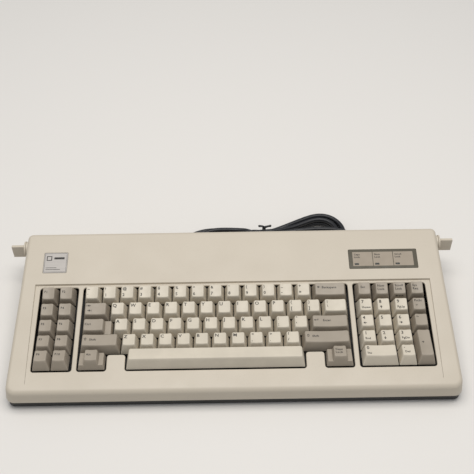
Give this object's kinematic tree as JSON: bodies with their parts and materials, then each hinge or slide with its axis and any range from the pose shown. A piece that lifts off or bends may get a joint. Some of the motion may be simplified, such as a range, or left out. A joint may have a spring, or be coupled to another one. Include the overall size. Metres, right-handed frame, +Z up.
{
  "type": "mechanical keyboard",
  "caption": "Wedge-shaped desk keyboard with curved rows of sculpted keys, function keys at the left, number pad at the right, turning feet and a tied cable with a round plug.",
  "frame": {"origin": "on the desk under the centre of the case: middle of its width and depth, at the underside of the rubber pads", "axes": "+X to the right of the person typing, +Y away from that person towards the rear edge, +Z up"},
  "size_m": [0.4992, 0.2603, 0.0571],
  "materials": {
    "case_plastic": "fine grained",
    "pan_metal": "satin",
    "cap_white": "satin",
    "cap_grey": "satin",
    "barrel_plastic": "moulded",
    "steel": "plated",
    "foam": "open cell",
    "circuit": "lacquered",
    "bezel_plastic": "printed",
    "badge_metal": "brushed",
    "rubber": "matte",
    "cable_jacket": "smooth vinyl",
    "tie_plastic": "matte"
  },
  "bodies": {
    "case": {"top_cover": "case_plastic", "bottom_cover": "pan_metal", "badge_plate": "badge_metal", "indicator_plate": "bezel_plastic", "indicator_board": "circuit", "barrel_plate": "barrel_plastic", "foam_mat": "foam", "sensor_board": "circuit", "back_plate": "steel", "controller_board": "circuit", "pad_front_left": "rubber", "pad_front_right": "rubber", "pad_rear_left": "rubber", "pad_rear_right": "rubber", "cord_boot": "rubber", "cable_lead": "cable_jacket", "cable_hank": "cable_jacket", "cable_tail": "cable_jacket", "twist_tie": "tie_plastic", "din_plug": "cable_jacket"},
    "keys_f1_f2_body": {"keys_f1_f2": "cap_grey"},
    "keys_f3_f4_body": {"keys_f3_f4": "cap_grey"},
    "keys_f5_f6_body": {"keys_f5_f6": "cap_grey"},
    "keys_f7_f8_body": {"keys_f7_f8": "cap_grey"},
    "keys_f9_f10_body": {"keys_f9_f10": "cap_grey"},
    "keys_digit_row_left_body": {"keys_digit_row_left": "cap_white"},
    "keys_digit_row_middle_body": {"keys_digit_row_middle": "cap_white"},
    "keys_digit_row_right_body": {"keys_digit_row_right": "cap_white"},
    "key_backspace_body": {"key_backspace": "cap_grey"},
    "key_tab_body": {"key_tab": "cap_grey"},
    "keys_upper_row_left_body": {"keys_upper_row_left": "cap_white"},
    "keys_upper_row_middle_body": {"keys_upper_row_middle": "cap_white"},
    "keys_upper_row_right_body": {"keys_upper_row_right": "cap_white"},
    "key_backslash_body": {"key_backslash": "cap_white"},
    "key_ctrl_body": {"key_ctrl": "cap_grey"},
    "keys_home_row_left_body": {"keys_home_row_left": "cap_white"},
    "keys_home_row_right_body": {"keys_home_row_right": "cap_white"},
    "key_enter_body": {"key_enter": "cap_grey"},
    "key_shift_left_body": {"key_shift_left": "cap_grey"},
    "keys_lower_row_left_body": {"keys_lower_row_left": "cap_white"},
    "keys_lower_row_right_body": {"keys_lower_row_right": "cap_white"},
    "key_shift_right_body": {"key_shift_right": "cap_grey"},
    "key_alt_body": {"key_alt": "cap_grey"},
    "key_space_body": {"key_space": "cap_white"},
    "key_caps_lock_body": {"key_caps_lock": "cap_grey"},
    "key_escape_body": {"key_escape": "cap_grey"},
    "key_num_lock_body": {"key_num_lock": "cap_grey"},
    "key_scroll_lock_body": {"key_scroll_lock": "cap_grey"},
    "key_sys_req_body": {"key_sys_req": "cap_grey"},
    "keys_pad_7_8_9_body": {"keys_pad_7_8_9": "cap_white"},
    "key_print_screen_body": {"key_print_screen": "cap_grey"},
    "keys_pad_4_5_6_body": {"keys_pad_4_5_6": "cap_white"},
    "key_pad_minus_body": {"key_pad_minus": "cap_grey"},
    "keys_pad_1_2_3_body": {"keys_pad_1_2_3": "cap_white"},
    "key_pad_0_body": {"key_pad_0": "cap_white"},
    "key_pad_point_body": {"key_pad_point": "cap_white"},
    "key_pad_plus_body": {"key_pad_plus": "cap_grey"},
    "space_bar_wire_body": {"space_bar_wire": "steel"},
    "foot_left_body": {"foot_left": "case_plastic"},
    "foot_right_body": {"foot_right": "case_plastic"}
  },
  "joints": [
    {"name": "foot_left_turn", "type": "hinge", "parent": "case", "child": "foot_left_body", "pos_m": [0, 0.0833, 0.043], "axis": [1, 0, 0], "range_deg": [0, 58]},
    {"name": "foot_right_turn", "type": "hinge", "parent": "case", "child": "foot_right_body", "pos_m": [0, 0.0833, 0.043], "axis": [1, 0, 0], "range_deg": [0, 58]},
    {"name": "key_space_press", "type": "slide", "parent": "case", "child": "key_space_body", "axis": [0, -0.0915, -0.9958], "range_m": [0, 0.0038], "stiffness_N_per_m": 260, "springref_m": -0.002},
    {"name": "space_bar_wire_turn", "type": "hinge", "parent": "case", "child": "space_bar_wire_body", "pos_m": [-0.0188, -0.05362, 0.02192], "axis": [1, 0, 0], "range_deg": [0, 18.5]},
    {"name": "key_ctrl_press", "type": "slide", "parent": "case", "child": "key_ctrl_body", "axis": [0, 0.0872, -0.9962], "range_m": [0, 0.0038], "stiffness_N_per_m": 260, "springref_m": -0.002},
    {"name": "key_alt_press", "type": "slide", "parent": "case", "child": "key_alt_body", "axis": [0, -0.0915, -0.9958], "range_m": [0, 0.0038], "stiffness_N_per_m": 260, "springref_m": -0.002},
    {"name": "key_caps_lock_press", "type": "slide", "parent": "case", "child": "key_caps_lock_body", "axis": [0, -0.0915, -0.9958], "range_m": [0, 0.0038], "stiffness_N_per_m": 260, "springref_m": -0.002},
    {"name": "key_shift_left_press", "type": "slide", "parent": "case", "child": "key_shift_left_body", "axis": [0, -0.0022, -1], "range_m": [0, 0.0038], "stiffness_N_per_m": 260, "springref_m": -0.002},
    {"name": "key_shift_right_press", "type": "slide", "parent": "case", "child": "key_shift_right_body", "axis": [0, -0.0022, -1], "range_m": [0, 0.0038], "stiffness_N_per_m": 260, "springref_m": -0.002},
    {"name": "key_enter_press", "type": "slide", "parent": "case", "child": "key_enter_body", "axis": [0, 0.0872, -0.9962], "range_m": [0, 0.0038], "stiffness_N_per_m": 260, "springref_m": -0.002},
    {"name": "key_tab_press", "type": "slide", "parent": "case", "child": "key_tab_body", "axis": [0, 0.1758, -0.9844], "range_m": [0, 0.0038], "stiffness_N_per_m": 260, "springref_m": -0.002},
    {"name": "key_backspace_press", "type": "slide", "parent": "case", "child": "key_backspace_body", "axis": [0, 0.263, -0.9648], "range_m": [0, 0.0038], "stiffness_N_per_m": 260, "springref_m": -0.002},
    {"name": "key_backslash_press", "type": "slide", "parent": "case", "child": "key_backslash_body", "axis": [0, 0.1758, -0.9844], "range_m": [0, 0.0038], "stiffness_N_per_m": 260, "springref_m": -0.002},
    {"name": "key_pad_plus_press", "type": "slide", "parent": "case", "child": "key_pad_plus_body", "axis": [0, -0.0469, -0.9989], "range_m": [0, 0.0038], "stiffness_N_per_m": 260, "springref_m": -0.002},
    {"name": "key_pad_0_press", "type": "slide", "parent": "case", "child": "key_pad_0_body", "axis": [0, -0.0915, -0.9958], "range_m": [0, 0.0038], "stiffness_N_per_m": 260, "springref_m": -0.002},
    {"name": "key_pad_point_press", "type": "slide", "parent": "case", "child": "key_pad_point_body", "axis": [0, -0.0915, -0.9958], "range_m": [0, 0.0038], "stiffness_N_per_m": 260, "springref_m": -0.002},
    {"name": "key_pad_minus_press", "type": "slide", "parent": "case", "child": "key_pad_minus_body", "axis": [0, 0.0872, -0.9962], "range_m": [0, 0.0038], "stiffness_N_per_m": 260, "springref_m": -0.002},
    {"name": "key_escape_press", "type": "slide", "parent": "case", "child": "key_escape_body", "axis": [0, 0.263, -0.9648], "range_m": [0, 0.0038], "stiffness_N_per_m": 260, "springref_m": -0.002},
    {"name": "key_sys_req_press", "type": "slide", "parent": "case", "child": "key_sys_req_body", "axis": [0, 0.263, -0.9648], "range_m": [0, 0.0038], "stiffness_N_per_m": 260, "springref_m": -0.002},
    {"name": "keys_f9_f10_press", "type": "slide", "parent": "case", "child": "keys_f9_f10_body", "axis": [0, -0.0915, -0.9958], "range_m": [0, 0.0038], "stiffness_N_per_m": 260, "springref_m": -0.002},
    {"name": "keys_f1_f2_press", "type": "slide", "parent": "case", "child": "keys_f1_f2_body", "axis": [0, 0.263, -0.9648], "range_m": [0, 0.0038], "stiffness_N_per_m": 260, "springref_m": -0.002},
    {"name": "keys_digit_row_left_press", "type": "slide", "parent": "case", "child": "keys_digit_row_left_body", "axis": [0, 0.263, -0.9648], "range_m": [0, 0.0038], "stiffness_N_per_m": 260, "springref_m": -0.002},
    {"name": "keys_lower_row_right_press", "type": "slide", "parent": "case", "child": "keys_lower_row_right_body", "axis": [0, -0.0022, -1], "range_m": [0, 0.0038], "stiffness_N_per_m": 260, "springref_m": -0.002},
    {"name": "keys_home_row_left_press", "type": "slide", "parent": "case", "child": "keys_home_row_left_body", "axis": [0, 0.0872, -0.9962], "range_m": [0, 0.0038], "stiffness_N_per_m": 260, "springref_m": -0.002},
    {"name": "keys_pad_7_8_9_press", "type": "slide", "parent": "case", "child": "keys_pad_7_8_9_body", "axis": [0, 0.1758, -0.9844], "range_m": [0, 0.0038], "stiffness_N_per_m": 260, "springref_m": -0.002},
    {"name": "keys_pad_1_2_3_press", "type": "slide", "parent": "case", "child": "keys_pad_1_2_3_body", "axis": [0, -0.0022, -1], "range_m": [0, 0.0038], "stiffness_N_per_m": 260, "springref_m": -0.002},
    {"name": "keys_f3_f4_press", "type": "slide", "parent": "case", "child": "keys_f3_f4_body", "axis": [0, 0.1758, -0.9844], "range_m": [0, 0.0038], "stiffness_N_per_m": 260, "springref_m": -0.002},
    {"name": "keys_f5_f6_press", "type": "slide", "parent": "case", "child": "keys_f5_f6_body", "axis": [0, 0.0872, -0.9962], "range_m": [0, 0.0038], "stiffness_N_per_m": 260, "springref_m": -0.002},
    {"name": "keys_f7_f8_press", "type": "slide", "parent": "case", "child": "keys_f7_f8_body", "axis": [0, -0.0022, -1], "range_m": [0, 0.0038], "stiffness_N_per_m": 260, "springref_m": -0.002},
    {"name": "keys_digit_row_middle_press", "type": "slide", "parent": "case", "child": "keys_digit_row_middle_body", "axis": [0, 0.263, -0.9648], "range_m": [0, 0.0038], "stiffness_N_per_m": 260, "springref_m": -0.002},
    {"name": "keys_digit_row_right_press", "type": "slide", "parent": "case", "child": "keys_digit_row_right_body", "axis": [0, 0.263, -0.9648], "range_m": [0, 0.0038], "stiffness_N_per_m": 260, "springref_m": -0.002},
    {"name": "keys_upper_row_left_press", "type": "slide", "parent": "case", "child": "keys_upper_row_left_body", "axis": [0, 0.1758, -0.9844], "range_m": [0, 0.0038], "stiffness_N_per_m": 260, "springref_m": -0.002},
    {"name": "keys_upper_row_middle_press", "type": "slide", "parent": "case", "child": "keys_upper_row_middle_body", "axis": [0, 0.1758, -0.9844], "range_m": [0, 0.0038], "stiffness_N_per_m": 260, "springref_m": -0.002},
    {"name": "keys_upper_row_right_press", "type": "slide", "parent": "case", "child": "keys_upper_row_right_body", "axis": [0, 0.1758, -0.9844], "range_m": [0, 0.0038], "stiffness_N_per_m": 260, "springref_m": -0.002},
    {"name": "keys_home_row_right_press", "type": "slide", "parent": "case", "child": "keys_home_row_right_body", "axis": [0, 0.0872, -0.9962], "range_m": [0, 0.0038], "stiffness_N_per_m": 260, "springref_m": -0.002},
    {"name": "keys_lower_row_left_press", "type": "slide", "parent": "case", "child": "keys_lower_row_left_body", "axis": [0, -0.0022, -1], "range_m": [0, 0.0038], "stiffness_N_per_m": 260, "springref_m": -0.002},
    {"name": "key_num_lock_press", "type": "slide", "parent": "case", "child": "key_num_lock_body", "axis": [0, 0.263, -0.9648], "range_m": [0, 0.0038], "stiffness_N_per_m": 260, "springref_m": -0.002},
    {"name": "key_scroll_lock_press", "type": "slide", "parent": "case", "child": "key_scroll_lock_body", "axis": [0, 0.263, -0.9648], "range_m": [0, 0.0038], "stiffness_N_per_m": 260, "springref_m": -0.002},
    {"name": "key_print_screen_press", "type": "slide", "parent": "case", "child": "key_print_screen_body", "axis": [0, 0.1758, -0.9844], "range_m": [0, 0.0038], "stiffness_N_per_m": 260, "springref_m": -0.002},
    {"name": "keys_pad_4_5_6_press", "type": "slide", "parent": "case", "child": "keys_pad_4_5_6_body", "axis": [0, 0.0872, -0.9962], "range_m": [0, 0.0038], "stiffness_N_per_m": 260, "springref_m": -0.002}
  ],
  "couplings": [
    {"joint": "space_bar_wire_turn", "follows": "key_space_press", "rad_per_m": 83.3}
  ]
}
